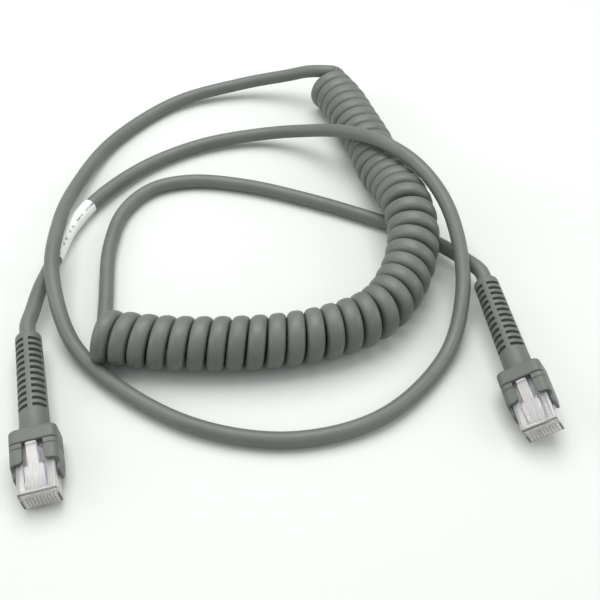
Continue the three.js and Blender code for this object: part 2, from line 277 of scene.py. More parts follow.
class Nodes:
    """Short ways to add nodes to self.tree."""

    def add(self, kind, links=(), **settings):
        """The outputs of a new node, with its settings made and each input joined or given a value."""
        node = self.tree.nodes.new(kind)
        for key, value in settings.items():
            setattr(node, key, value)
        for socket, value in dict(links).items():
            if isinstance(value, bpy.types.NodeSocket):
                self.tree.links.new(value, node.inputs[socket])
            else:
                node.inputs[socket].default_value = value
        return node.outputs

    def math(self, operation, *values):
        return self.add("ShaderNodeMath", enumerate(values), operation=operation)[0]


class Shader(Nodes):
    """A Principled material whose patterns come from nodes."""

    def __init__(self, name):
        self.material = bpy.data.materials.new(name)
        self.material.use_nodes = True
        self.tree = self.material.node_tree
        self.surface = next(n for n in self.tree.nodes if n.type == "BSDF_PRINCIPLED")
        self.place = self.add("ShaderNodeTexCoord")["Object"]

    def set(self, **values):
        for key, value in values.items():
            self.surface.inputs[key.replace("_", " ")].default_value = value

    def link(self, output, name):
        self.tree.links.new(output, self.surface.inputs[name])

    def noise(self, scale, detail=3.0, vector=None):
        return self.add("ShaderNodeTexNoise", {"Vector": vector or self.place, "Scale": scale,
                                               "Detail": detail})["Fac"]

    def span(self, value, low, high, from_low=0.0, from_high=1.0):
        return self.add("ShaderNodeMapRange", {"Value": value, "From Min": from_low, "From Max": from_high,
                                               "To Min": low, "To Max": high})["Result"]

    def mixed(self, amount, first, second):
        colours = [(*value, 1.0) if isinstance(value, tuple) else value for value in (first, second)]
        return self.add("ShaderNodeMix", {0: amount, 6: colours[0], 7: colours[1]}, data_type="RGBA")[2]

    def mottle(self, tone, base, dark, light, low=0.3, high=0.7):
        """Shades the base from dark to light as the tone goes from low to high."""
        amount = self.span(tone, 0.0, 1.0, low, high)
        self.link(self.mixed(amount, toned(base, dark), toned(base, light)), "Base Color")

    def sheen(self, scale, smooth, rough):
        """Lets the roughness wander between two values."""
        self.link(self.span(self.noise(scale), smooth, rough, 0.3, 0.7), "Roughness")

    def bump(self, height, strength, distance):
        self.link(self.add("ShaderNodeBump", {"Strength": strength, "Distance": distance,
                                              "Height": height})["Normal"], "Normal")


def toned(base, factor):
    return tuple(min(1.0, channel * factor) for channel in base)


def moulded_pvc(name, base):
    """Satin grey PVC: faint mottling, a slightly uneven sheen and a fine skin."""
    look = Shader(name)
    look.mottle(look.math("MULTIPLY_ADD", look.noise(900.0), 0.35, look.noise(70.0)), base, 0.90, 1.10,
                0.42, 0.95)
    look.sheen(420.0, 0.40, 0.56)
    look.set(Specular_IOR_Level=0.42)
    look.bump(look.noise(5200.0, 2.0), 0.16, 0.00004)
    return look.material


def strand_pvc(name, base):
    """The cable's jacket: the same PVC, with faint lines drawn out along the strand."""
    look = Shader(name)
    rim = look.add("ShaderNodeAttribute", attribute_name="rim")["Vector"]
    along = look.add("ShaderNodeAttribute", attribute_name="along")["Fac"]
    across, around = look.add("ShaderNodeSeparateXYZ", {0: rim})[:2]
    drawn_out = look.add("ShaderNodeCombineXYZ", {0: across, 1: around, 2: look.span(along, 0.0, 14.0)})[0]
    lines = look.noise(3.2, 4.0, drawn_out)
    look.mottle(look.math("MULTIPLY_ADD", lines, 0.5, look.noise(55.0)), base, 0.90, 1.10, 0.5, 1.0)
    look.sheen(300.0, 0.38, 0.52)
    look.set(Specular_IOR_Level=0.45)
    look.bump(look.math("MULTIPLY_ADD", lines, 0.8, look.noise(4200.0, 2.0)), 0.14, 0.00005)
    return look.material


def clear_plastic_painted_shade(name, tint):
    """Polycarbonate gone slightly milky, with painted shade on the nose's top rim and lower corners,
    standing in for the dark refraction there.
    """
    look = Shader(name)
    local = look.add("ShaderNodeAttribute", attribute_name="local")["Vector"]
    x, y, z = look.add("ShaderNodeSeparateXYZ", {0: local})
    shade_rim_from, shade_corner_from = PLUG_HALF_HEIGHT - NOSE_SHADE_RIM, PLUG_HALF_WIDTH - NOSE_SHADE_CORNER
    # painted shade: a rim below the nose's top and its lower corners, near the front, are mixed towards
    # near-black and made less clear
    rim = look.span(z, 0.0, 1.0, shade_rim_from, shade_rim_from + RIM_SHADE_FADE)
    low = look.span(z, 1.0, 0.0, NOSE_SHADE_CORNER_TOP / 2, NOSE_SHADE_CORNER_TOP)
    corner = look.span(look.math("ABSOLUTE", y), 0.0, 1.0, shade_corner_from, shade_corner_from + CORNER_SHADE_FADE)
    front = look.span(x, 0.0, 1.0, NOSE_SHADE_FROM, NOSE_SHADE_FROM + RIM_SHADE_FADE)
    dark = look.math("MULTIPLY", look.math("MULTIPLY_ADD", corner, low, rim), front)
    look.link(look.mixed(dark, tint, (0.10, 0.11, 0.10)), "Base Color")
    look.link(look.span(dark, 0.75, 0.0), "Transmission Weight")
    look.set(Roughness=0.14, IOR=1.45)
    return look.material


def gold_plate(name, base):
    look = Shader(name)
    look.mottle(look.noise(1500.0), base, 0.88, 1.08, 0.35, 0.7)
    look.sheen(2600.0, 0.20, 0.36)
    look.set(Metallic=1.0)
    return look.material


def milky_nylon(name, base):
    look = Shader(name)
    look.mottle(look.noise(500.0), base, 0.93, 1.05)
    look.sheen(1200.0, 0.42, 0.55)
    look.bump(look.noise(3000.0), 0.1, 0.00004)
    return look.material


def wire_skin(name, base):
    look = Shader(name)
    look.mottle(look.noise(1600.0), base, 0.88, 1.10)
    look.sheen(2200.0, 0.34, 0.46)
    return look.material


def printed_film(name, film, ink):
    """White film with rows of small plain bars, laid out by the sleeve's own map."""
    look = Shader(name)
    chart = look.add("ShaderNodeUVMap", uv_map="sleeve")["UV"]
    around, along = look.add("ShaderNodeSeparateXYZ", {0: chart})[:2]
    rows = look.math("MULTIPLY", around, LABEL_ROWS)
    row, column = look.math("FLOOR", rows), look.math("FLOOR", look.math("MULTIPLY", along, LABEL_COLUMNS))
    cell = look.add("ShaderNodeCombineXYZ", {0: row, 1: column})[0]
    chance = look.add("ShaderNodeTexWhiteNoise", {"Vector": cell}, noise_dimensions="3D")["Value"]
    inked = look.math("LESS_THAN", look.math("MODULO", row, 3.0), 0.5)
    for factor in (look.span(chance, 0.0, 1.0, 0.40, 0.44),
                   look.math("COMPARE", look.math("FRACT", rows), 0.5, 0.27),
                   look.span(look.noise(700.0), 0.35, 1.0, 0.35, 0.6)):
        inked = look.math("MULTIPLY", inked, factor)
    paper = look.mixed(look.noise(240.0), toned(film, 0.95), toned(film, 1.03))
    look.link(look.mixed(inked, paper, ink), "Base Color")
    look.sheen(500.0, 0.34, 0.48)
    look.bump(look.noise(1400.0), 0.08, 0.00004)
    return look.material


def looks():
    """Makes every finish once and returns them by name."""
    made = bpy.data.materials
    if "jacket_pvc" not in made:
        chosen = bpy.context.scene.cable_looks
        jacket = tuple(chosen.jacket)
        strand_pvc("jacket_pvc", jacket)
        moulded_pvc("moulded_pvc", jacket)
        clear_plastic_painted_shade("clear_plug_painted_shade", tuple(chosen.clear))
        gold_plate("contact_gold", tuple(chosen.gold))
        milky_nylon("milky_nylon", tuple(chosen.nylon))
        printed_film("label_film", tuple(chosen.film), tuple(chosen.ink))
        for shade, base in WIRE_COLOURS.items():
            wire_skin("wire_" + shade, base)
    return made


# ------------------------------------------------------------------ mesh tools

def plug_space(plug):
    """From a plug's own millimetres to the row's metres, read from the plug's two mounts."""
    mounts = {mount["name"]: mount for mount in frame["record"]["mounts"]}
    nose = mounts[plug + "_nose"]
    forward = Vector(nose["axis"]).normalized()
    up = -Vector(mounts[plug + "_rest"]["axis"]).normalized()
    left = up.cross(forward)
    origin = Vector(nose["pos_m"]) - NOSE_MOUNT_HEIGHT * MM * up
    turn = Matrix((forward, left, up)).transposed().to_4x4()
    return Matrix.Translation(origin) @ turn @ Matrix.Scale(MM, 4)


def on_axis(plug, x):
    return plug_space(plug) @ Vector((x, 0, 0))


def new_object(name, mesh):
    piece = bpy.data.objects.new(name, mesh)
    bpy.context.scene.collection.objects.link(piece)
    return piece


def solid_mesh(name, points, faces):
    mesh = bpy.data.meshes.new(name)
    mesh.from_pydata([tuple(p) for p in points], [], faces)
    tidy = bmesh.new()
    tidy.from_mesh(mesh)
    bmesh.ops.recalc_face_normals(tidy, faces=tidy.faces)
    tidy.to_mesh(mesh)
    tidy.free()
    return mesh


def baked(piece):
    """The piece's mesh with its modifiers applied, on a fresh object of the same name."""
    view = bpy.context.evaluated_depsgraph_get()
    mesh = bpy.data.meshes.new_from_object(piece.evaluated_get(view))
    name, old = piece.name, piece.data
    bpy.data.objects.remove(piece)
    bpy.data.meshes.remove(old)
    mesh.name = name
    return new_object(name, mesh)


def finished(piece, material, sharp=35.0):
    """Gives the piece its one material and smooth shading that breaks at real edges."""
    piece.data.materials.clear()
    piece.data.materials.append(material)
    piece.data.polygons.foreach_set("use_smooth", [True] * len(piece.data.polygons))
    piece.data.set_sharp_from_angle(angle=math.radians(sharp))
    return piece


def loft(rings, closed=False):
    """Joins rings of equal length with quads. An open loft is capped at both ends."""
    count = len(rings[0])
    points = [p for ring in rings for p in ring]
    faces = []
    last = len(rings) if closed else len(rings) - 1
    for r in range(last):
        here, there = r * count, ((r + 1) % len(rings)) * count
        for i in range(count):
            j = (i + 1) % count
            faces.append((here + i, here + j, there + j, there + i))
    if not closed:
        faces.append(tuple(range(count)))
        faces.append(tuple(reversed(range(len(points) - count, len(points)))))
    return points, faces


def block(low, high):
    """A box as points and faces, for joining and cutting."""
    corners = [(x, y, z) for x in (low[0], high[0]) for y in (low[1], high[1]) for z in (low[2], high[2])]
    faces = [(0, 1, 3, 2), (4, 6, 7, 5), (0, 4, 5, 1), (2, 3, 7, 6), (0, 2, 6, 4), (1, 5, 7, 3)]
    return corners, faces


def carve(piece, tools):
    """Takes each tool, given as points and faces, away from the piece."""
    for points, faces in tools:
        tool = new_object("tool", solid_mesh("tool", points, faces))
        cut = piece.modifiers.new("cut", "BOOLEAN")
        cut.operation = "DIFFERENCE"
        cut.solver = "EXACT"
        cut.object = tool
        piece = baked(piece)
        mesh = tool.data
        bpy.data.objects.remove(tool)
        bpy.data.meshes.remove(mesh)
    return piece


def rounded_rim(angle, width, height, corner, middle=0.0):
    """The point of a rounded rectangle across the plug that lies in the given direction."""
    y, z = math.cos(angle), math.sin(angle)
    half_y, half_z = width / 2, height / 2
    reach = min(half_y / abs(y) if y else 1e9, half_z / abs(z) if z else 1e9)
    py, pz = y * reach, z * reach
    inner_y, inner_z = half_y - corner, half_z - corner
    if abs(py) > inner_y and abs(pz) > inner_z:
        cy, cz = math.copysign(inner_y, y), math.copysign(inner_z, z)
        dot = y * cy + z * cz
        reach = dot + math.sqrt(max(0.0, dot * dot - (cy * cy + cz * cz - corner * corner)))
        py, pz = y * reach, z * reach
    return py, pz + middle


def rim_ring(x, sides, width, height, corner, middle=0.0):
    return [(x, *rounded_rim(TAU * i / sides, width, height, corner, middle)) for i in range(sides)]


def round_ring(x, sides, radius):
    return [(x, radius * math.cos(TAU * i / sides), radius * math.sin(TAU * i / sides))
            for i in range(sides)]


def quarter(steps):
    """The angles of a quarter turn, both ends included."""
    return [TAU / 4 * step / steps for step in range(steps + 1)]


# ------------------------------------------------------------------ curves

def smooth_curve(points, spacing):
    """A centripetal Catmull-Rom curve through the points, with steps of about the given spacing."""
    points = [Vector(p) for p in points]
    points = [2 * points[0] - points[1], *points, 2 * points[-1] - points[-2]]
    out = [points[1]]
    for a, b, c, d in zip(points, points[1:], points[2:], points[3:]):
        before, here, after = [(q - p).length ** 0.5 for p, q in ((a, b), (b, c), (c, d))]
        out_b = (b - a) / before - (c - a) / (before + here) + (c - b) / here
        out_c = (c - b) / here - (d - b) / (here + after) + (d - c) / after
        out_b, out_c = out_b * here, out_c * here
        steps = max(1, round((c - b).length / spacing))
        for i in range(1, steps + 1):
            t = i / steps
            cubic = 2 * b - 2 * c + out_b + out_c
            square = -3 * b + 3 * c - 2 * out_b - out_c
            out.append(((cubic * t + square) * t + out_b) * t + b)
    return out


def distances(points):
    total = [0.0]
    for a, b in zip(points, points[1:]):
        total.append(total[-1] + (b - a).length)
    return total


def ease(t):
    t = min(1.0, max(0.0, t))
    return t * t * (3 - 2 * t)


class Route:
    """A sampled curve that can be asked for its place and direction at a distance along it."""

    def __init__(self, points):
        self.points = points
        self.marks = distances(points)
        self.length = self.marks[-1]

    def at(self, distance):
        low = min(max(bisect_right(self.marks, distance) - 1, 0), len(self.marks) - 2)
        step = self.marks[low + 1] - self.marks[low]
        return self.points[low].lerp(self.points[low + 1], (distance - self.marks[low]) / step)

    def direction(self, distance, reach=0.002):
        return (self.at(distance + reach) - self.at(distance - reach)).normalized()


def coil_pitch(settings, distance):
    pitch = settings.near_pitch
    for start, wanted in ((BEND_FROM, settings.bend_pitch), (RISE_FROM, settings.rise_pitch),
                          (FAR_FROM, settings.far_pitch)):
        pitch += (wanted - pitch) * ease((distance - start) / PITCH_BLEND)
    return pitch


def coil_turns(settings):
    """The strand's centre round the coil, near end to far end, wound left-handed, and the axis there."""
    axis = Route(smooth_curve(COIL_AXIS, 0.0015))
    step, distance = 0, -settings.lead_in
    last = round(LAST_TURN * settings.steps)
    turns, along = [], []
    while distance < axis.length - STOP_SHORT or step % settings.steps != last:
        centre, ahead = axis.at(distance), axis.direction(distance)
        right = ahead.cross(Vector((0, 0, 1))).normalized()
        up = right.cross(ahead)
        angle = TAU * step / settings.steps
        share = ease((distance - BEND_FROM) / (RISE_FROM - BEND_FROM))
        radius = settings.near_radius + (settings.far_radius - settings.near_radius) * share
        turns.append(centre + radius * (math.sin(angle) * right - math.cos(angle) * up))
        along.append(ahead)
        step += 1
        distance += coil_pitch(settings, distance) / settings.steps
    return turns, along


def cable_path(settings):
    """The cable's centreline from boot to boot, with the coil's axis and how flat the strand is there."""
    start = [on_axis("host", BOOT_END), on_axis("host", BOOT_END - STRAIGHT_EXIT)]
    end = [on_axis("scanner", BOOT_END - STRAIGHT_EXIT), on_axis("scanner", BOOT_END)]
    turns, along = coil_turns(settings)
    turns, along = turns[::-1], along[::-1]
    host = smooth_curve([*start, *HOST_LEAD, turns[0], turns[1]], 0.0022)[:-1]
    scanner = smooth_curve([turns[-2], turns[-1], *SCANNER_LEAD[1:], *end], 0.0022)[1:]
    path = [*host[:-1], *turns, *scanner[1:]]
    axes = [along[0]] * (len(host) - 1) + along + [along[-1]] * (len(scanner) - 1)
    flat = [0.0] * (len(host) - 1)
    flat += [ease(min(i, len(turns) - 1 - i) / FLAT_BLEND) for i in range(len(turns))]
    flat += [0.0] * (len(scanner) - 1)
    return path, axes, flat


# ------------------------------------------------------------------ node trees

class Tree(Nodes):
    """A Geometry Nodes tree with named inputs."""

    def __init__(self, name, inputs):
        self.tree = bpy.data.node_groups.new(name, "GeometryNodeTree")
        face = self.tree.interface
        face.new_socket("Geometry", in_out="OUTPUT", socket_type="NodeSocketGeometry")
        face.new_socket("Geometry", in_out="INPUT", socket_type="NodeSocketGeometry")
        self.ids = {}
        for label, kind in inputs.items():
            self.ids[label] = face.new_socket(label, in_out="INPUT", socket_type=kind).identifier
        self.given = self.tree.nodes.new("NodeGroupInput").outputs
        self.out = self.tree.nodes.new("NodeGroupOutput")

    def end(self, geometry):
        real = self.add("GeometryNodeRealizeInstances", {"Geometry": geometry})[0]
        dressed = self.add("GeometryNodeSetMaterial", {"Geometry": real,
                                                       "Material": self.given["Material"]})[0]
        self.tree.links.new(dressed, self.out.inputs[0])

    def run(self, piece, **values):
        modifier = piece.modifiers.new(self.tree.name, "NODES")
        modifier.node_group = self.tree
        for label, value in values.items():
            modifier[self.ids[label.replace("_", " ").capitalize()]] = value
        return baked(piece)


def strand_tree():
    """Draws the strand along a line of edges: round, or flattened along "axis" where "flat" is 1."""
    tree = Tree("Drawn strand", {
        "Radius": "NodeSocketFloat", "Sides": "NodeSocketInt", "Flat width": "NodeSocketFloat",
        "Flat height": "NodeSocketFloat", "Squareness": "NodeSocketFloat",
        "Material": "NodeSocketMaterial"})
    given = tree.given

    def kept(geometry, name, value, kind="FLOAT"):
        return tree.add("GeometryNodeStoreNamedAttribute", {"Geometry": geometry, "Name": name,
                                                            "Value": value},
                        data_type=kind, domain="POINT")[0]

    def named(name, kind="FLOAT"):
        outputs = tree.add("GeometryNodeInputNamedAttribute", {"Name": name}, data_type=kind)
        return next(socket for socket in outputs if socket.enabled and socket.name == "Attribute")

    def vector(operation, first, second, out=0):
        return tree.add("ShaderNodeVectorMath", {0: first, 1: second}, operation=operation)[out]

    place = tree.add("GeometryNodeInputPosition")[0]
    line = tree.add("GeometryNodeMeshToCurve", {"Mesh": given["Geometry"]})[0]
    line = kept(line, "along", tree.add("GeometryNodeSplineParameter")["Length"])
    line = kept(line, "core", place, "FLOAT_VECTOR")
    ring = tree.add("GeometryNodeCurvePrimitiveCircle",
                    {"Resolution": given["Sides"], "Radius": given["Radius"]})[0]
    scaled = tree.add("ShaderNodeVectorMath", {0: place, "Scale": 1 / MM}, operation="SCALE")[0]
    ring = kept(ring, "rim", scaled, "FLOAT_VECTOR")
    tube = tree.add("GeometryNodeCurveToMesh", {"Curve": line, "Profile Curve": ring, "Fill Caps": True})[0]

    core, axis, flat = named("core", "FLOAT_VECTOR"), named("axis", "FLOAT_VECTOR"), named("flat")
    out = vector("SUBTRACT", place, core)
    reach = tree.math("MAXIMUM", vector("LENGTH", out, (0, 0, 0), 1), 1e-6)
    across = tree.math("DIVIDE", vector("DOT_PRODUCT", out, axis, 1), reach)
    across = tree.math("MINIMUM", tree.math("ABSOLUTE", across), 1.0)
    deep = tree.math("SQRT", tree.math("SUBTRACT", 1.0, tree.math("MULTIPLY", across, across)))
    wide = tree.math("DIVIDE", tree.math("MULTIPLY", across, 2.0), given["Flat width"])
    deep = tree.math("DIVIDE", tree.math("MULTIPLY", deep, 2.0), given["Flat height"])
    total = tree.math("ADD", tree.math("POWER", wide, given["Squareness"]),
                      tree.math("POWER", deep, given["Squareness"]))
    wanted = tree.math("POWER", total, tree.math("DIVIDE", -1.0, given["Squareness"]))
    change = tree.math("SUBTRACT", tree.math("DIVIDE", wanted, reach), 1.0)
    share = tree.math("MULTIPLY", change, flat)
    shift = tree.add("ShaderNodeVectorMath", {0: out, "Scale": share}, operation="SCALE")[0]
    tube = tree.add("GeometryNodeSetPosition", {"Geometry": tube, "Offset": shift})[0]
    tree.end(tube)
    return tree


def slots_tree():
    """Sinks rows of strain-relief slots into a boot that lies along X about its own axis."""
    tree = Tree("Strain relief slots", {
        "Slots": "NodeSocketInt", "Pitch": "NodeSocketFloat", "First": "NodeSocketFloat",
        "Width": "NodeSocketFloat", "Depth": "NodeSocketFloat", "Half angle": "NodeSocketFloat",
        "Edge": "NodeSocketFloat", "Skin": "NodeSocketFloat", "Material": "NodeSocketMaterial"})
    given = tree.given
    place = tree.add("GeometryNodeInputPosition")[0]
    x, y, z = tree.add("ShaderNodeSeparateXYZ", {0: place})[:3]
    steps = tree.math("DIVIDE", tree.math("SUBTRACT", x, given["First"]), given["Pitch"])
    last = tree.math("SUBTRACT", given["Slots"], 1.0)
    nearest = tree.math("MINIMUM", tree.math("MAXIMUM", tree.math("ROUND", steps), 0.0), last)
    off = tree.math("MULTIPLY", tree.math("ABSOLUTE", tree.math("SUBTRACT", steps, nearest)),
                    given["Pitch"])
    half = tree.math("MULTIPLY", given["Width"], 0.5)
    rim = tree.math("MULTIPLY", given["Edge"], 0.5)
    radius = tree.math("SQRT", tree.math("ADD", tree.math("MULTIPLY", y, y), tree.math("MULTIPLY", z, z)))
    quarter = tree.math("MODULO", tree.math("ADD", tree.math("ARCTAN2", z, y), TAU), TAU / 4)
    turn = tree.math("ABSOLUTE", tree.math("SUBTRACT", quarter, TAU / 8))
    around = tree.math("MULTIPLY", tree.math("SUBTRACT", turn, given["Half angle"]), radius)
    beyond = tree.math("MAXIMUM", tree.math("SUBTRACT", off, half), around)
    sunk = tree.add("ShaderNodeMapRange", {
        "Value": beyond, "From Min": rim, "From Max": tree.math("MULTIPLY", rim, -1.0),
        "To Min": 0.0, "To Max": 1.0}, interpolation_type="SMOOTHSTEP")[0]
    outside = tree.math("GREATER_THAN", radius, given["Skin"])
    push = tree.math("MULTIPLY", tree.math("MULTIPLY", sunk, given["Depth"]), outside)
    shrink = tree.math("DIVIDE", tree.math("MULTIPLY", push, -1.0), radius)
    offset = tree.add("ShaderNodeCombineXYZ", {1: tree.math("MULTIPLY", y, shrink),
                                               2: tree.math("MULTIPLY", z, shrink)})[0]
    sunken = tree.add("GeometryNodeSetPosition", {"Geometry": given["Geometry"], "Offset": offset})[0]
    tree.end(sunken)
    return tree


# ------------------------------------------------------------------ the pieces

def make_strand(settings):
    path, axes, flat = cable_path(settings)
    line = bpy.data.meshes.new("cable_strand")
    line.from_pydata([tuple(p) for p in path], [(i, i + 1) for i in range(len(path) - 1)], [])
    line.attributes.new("axis", "FLOAT_VECTOR", "POINT").data.foreach_set(
        "vector", [value for axis in axes for value in axis])
    line.attributes.new("flat", "FLOAT", "POINT").data.foreach_set("value", flat)
    piece = new_object("cable_strand", line)
    piece = strand_tree().run(piece, radius=settings.diameter / 2, sides=settings.sides,
                              flat_width=settings.flat_width, flat_height=settings.flat_height,
                              squareness=settings.squareness, material=looks()["jacket_pvc"])
    finished(piece, looks()["jacket_pvc"], 60)
    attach(piece, BODY)
    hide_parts("host_lead", "coil", "scanner_lead")
    return piece, path


def make_label(path, radius):
    """A film wrapped round the lead: its loose end lies over its start, so it steps up there."""
    route = Route(path)
    lap = 1 / (1 + LABEL_OVERLAP)
    rings, sleeve_map = [], []
    for step in range(LABEL_STEPS + 1):
        share = step / LABEL_STEPS
        distance = LABEL_FROM + share * LABEL_LENGTH
        centre, ahead = route.at(distance), route.direction(distance)
        side = ahead.cross(Vector((0, 0, 1))).normalized()
        up = side.cross(ahead)
        ring = []
        for skin in (1, 0):
            for i in range(LABEL_SIDES + 1):
                part = i / LABEL_SIDES if skin else 1 - i / LABEL_SIDES
                angle = TAU * part * (1 + LABEL_OVERLAP) + LABEL_START
                layers = skin + LABEL_STEP_UP * ease((part - lap) / LABEL_CLIMB + 1)
                reach = radius + LABEL_LIFT + LABEL_THICKNESS * layers
                ring.append(centre + reach * (math.cos(angle) * side + math.sin(angle) * up))
                sleeve_map.append((part, share))
        rings.append(ring)
    points, faces = loft(rings)
    piece = new_object("wrap_label", solid_mesh("wrap_label", points, faces))
    chart = piece.data.uv_layers.new(name="sleeve")
    for loop in piece.data.loops:
        chart.data[loop.index].uv = sleeve_map[loop.vertex_index]
    finished(piece, looks()["label_film"], 40)
    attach(piece, BODY)
    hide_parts("label")
    return piece


def kept_outside(ring, radius):
    """The ring with every point that lies within the radius pushed out to it."""
    out = []
    for x, y, z in ring:
        push = max(1.0, radius / math.hypot(y, z))
        out.append((x, y * push, z * push))
    return out


def boot_rings(settings):
    """Rings from the boot's front, over its skin to the cable's end, and back through its bore."""
    sides = settings.sides
    front = SEAM - CLEARANCE / 2

    def shell(x, inset=0.0):
        return rim_ring(x, sides, HOOD_WIDTH - 2 * inset, HOOD_HEIGHT - 2 * inset, HOOD_CORNER, HOOD_MIDDLE)

    def tail_radius(x):
        share = (x - BOOT_END) / (SHOULDER - BOOT_END)
        return TAIL_BACK_RADIUS + (TAIL_FRONT_RADIUS - TAIL_BACK_RADIUS) * share

    rings = [shell(front, RIM_ROUND), shell(front - 0.3 * RIM_ROUND, 0.3 * RIM_ROUND),
             shell(front - RIM_ROUND)]
    straight = front - SHOULDER - SHOULDER_ROUND
    rings += [shell(front - RIM_ROUND - straight * share) for share in (0.25, 0.5, 0.75)]
    neck = TAIL_FRONT_RADIUS + SHOULDER_FILLET
    for angle in quarter(8):
        x = SHOULDER + SHOULDER_ROUND * (1 - math.sin(angle))
        rings.append(kept_outside(shell(x, SHOULDER_ROUND * (1 - math.cos(angle))), neck + NECK_ROOM))
    flat, foot = rings[-1], round_ring(SHOULDER, sides, neck)
    rings += [[tuple(Vector(a).lerp(Vector(b), share)) for a, b in zip(flat, foot)] for share in (0.5, 1.0)]
    for angle in quarter(6)[1:]:
        x = SHOULDER - SHOULDER_FILLET * (1 - math.cos(angle))
        rings.append(round_ring(x, sides, tail_radius(x) + SHOULDER_FILLET * (1 - math.sin(angle))))
    stations = {SHOULDER - 2.0, SHOULDER - 4.0, SHOULDER - 6.0, BOOT_END + TAIL_ROUND}
    edge = settings.edge / 2
    for index in range(settings.slots):
        middle = BOOT_END + settings.first + index * settings.pitch
        half = settings.width / 2
        for off in (0.0, half - 3 * edge, half - edge, half - edge / 2, half, half + edge / 2, half + edge,
                    half + 3 * edge):
            stations |= {round(middle - off, 5), round(middle + off, 5)}
    rings += [round_ring(x, sides, tail_radius(x)) for x in sorted(stations, reverse=True)
              if BOOT_END + TAIL_ROUND <= x <= SHOULDER - 1.9]
    for angle in quarter(8)[1:]:
        x = BOOT_END + TAIL_ROUND * (1 - math.sin(angle))
        rings.append(round_ring(x, sides, TAIL_BACK_RADIUS - TAIL_ROUND * (1 - math.cos(angle))))
    rings.append(round_ring(BOOT_END + BORE_LIP, sides, CABLE_BORE))
    rings.append(round_ring(MOULD_BACK - CLEARANCE, sides, CABLE_BORE))
    rings.append(round_ring(MOULD_BACK - CLEARANCE, sides, MOULD_BORE))
    rings.append(round_ring(PLUG_BACK - CLEARANCE, sides, MOULD_BORE))
    pocket = (2 * (PLUG_HALF_WIDTH + CLEARANCE), 2 * (PLUG_HALF_HEIGHT + CLEARANCE), 0.2)
    rings.append(rim_ring(PLUG_BACK - CLEARANCE, sides, *pocket))
    rings.append(rim_ring(front, sides, *pocket))
    return rings


def make_boot(plug, settings, tree):
    name = plug + "_boot_shell"
    points, faces = loft(boot_rings(settings), closed=True)
    piece = new_object(name, solid_mesh(name, points, faces))
    piece = tree.run(piece, slots=settings.slots, pitch=settings.pitch, first=BOOT_END + settings.first,
                     width=settings.width, depth=settings.depth, half_angle=settings.half_angle,
                     edge=settings.edge, skin=MOULD_BORE + 0.2, material=looks()["moulded_pvc"])
    piece.data.transform(plug_space(plug))
    finished(piece, looks()["moulded_pvc"], 50)
    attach(piece, BODY)
    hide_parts(plug + "_boot")


def plan_prism(outline, low, high):
    """A prism whose outline is drawn in X and Y, between two heights."""
    count = len(outline)
    points = [(x, y, low) for x, y in outline] + [(x, y, high) for x, y in outline]
    faces = [tuple(range(count)), tuple(reversed(range(count, 2 * count)))]
    faces += [(i, (i + 1) % count, count + (i + 1) % count, count + i) for i in range(count)]
    return points, faces


def side_prism(outline, low, high):
    """A prism whose outline is drawn in X and Z, between two places across the plug."""
    points, faces = plan_prism(outline, low, high)
    return [(x, z, y) for x, y, z in points], faces


def arc(centre, radius, start, end, steps=8):
    """Points of an arc, with its angles in quarter turns."""
    return [(centre[0] + radius * math.cos(TAU / 4 * (start + (end - start) * i / steps)),
             centre[1] + radius * math.sin(TAU / 4 * (start + (end - start) * i / steps)))
            for i in range(steps + 1)]


def hood_tools(settings):
    """What is cut from the hood's block: pocket, window, the room round its arms, and the collar line."""
    back, past = SEAM - 1.0, 2.0
    half_y, half_z = PLUG_HALF_WIDTH + CLEARANCE, PLUG_HALF_HEIGHT + CLEARANCE
    pocket = block((back, -half_y, -half_z), (past, half_y, half_z))
    half = WINDOW_WIDTH / 2
    mouth = HOOD_FRONT - WINDOW_CORNER
    flare = [(back, -half), *arc((mouth, -half - WINDOW_CORNER), WINDOW_CORNER, 1, 0),
             (past, -half - WINDOW_CORNER), (past, half + WINDOW_CORNER),
             *arc((mouth, half + WINDOW_CORNER), WINDOW_CORNER, 0, -1), (back, half)]
    window = plan_prism(flare, 0.0, HOOD_HEIGHT)
    root = HOOD_FRONT + ARM_CORNER
    tip = ARM_TIP - ARM_CORNER
    over = [(HOOD_FRONT, HOOD_HEIGHT), *arc((root, ARM_TOP + ARM_CORNER), ARM_CORNER, 2, 3),
            *arc((tip, ARM_TOP - ARM_CORNER), ARM_CORNER, 1, 0), (past, ARM_TOP - ARM_CORNER),
            (past, HOOD_HEIGHT)]
    under = [(HOOD_FRONT, -HOOD_HEIGHT), *arc((root, ARM_BOTTOM - ARM_CORNER), ARM_CORNER, 2, 1),
             *arc((tip, ARM_BOTTOM + ARM_CORNER), ARM_CORNER, 3, 4), (past, ARM_BOTTOM + ARM_CORNER),
             (past, -HOOD_HEIGHT)]
    cuts = [pocket, window, side_prism(over, -HOOD_WIDTH, HOOD_WIDTH),
            side_prism(under, -HOOD_WIDTH, HOOD_WIDTH)]
    depth, half_line = settings.groove, GROOVE_HALF_WIDTH
    outer = [rim_ring(COLLAR_LINE + off, HOOD_SIDES, HOOD_WIDTH + 2, HOOD_HEIGHT + 2, HOOD_CORNER + 1,
                      HOOD_MIDDLE) for off in (half_line, -half_line)]
    inner = [rim_ring(COLLAR_LINE + off, HOOD_SIDES, HOOD_WIDTH - 2 * depth, HOOD_HEIGHT - 2 * depth,
                      HOOD_CORNER - depth, HOOD_MIDDLE) for off in (-half_line, half_line)]
    cuts.append(loft(outer + inner, closed=True))
    return cuts


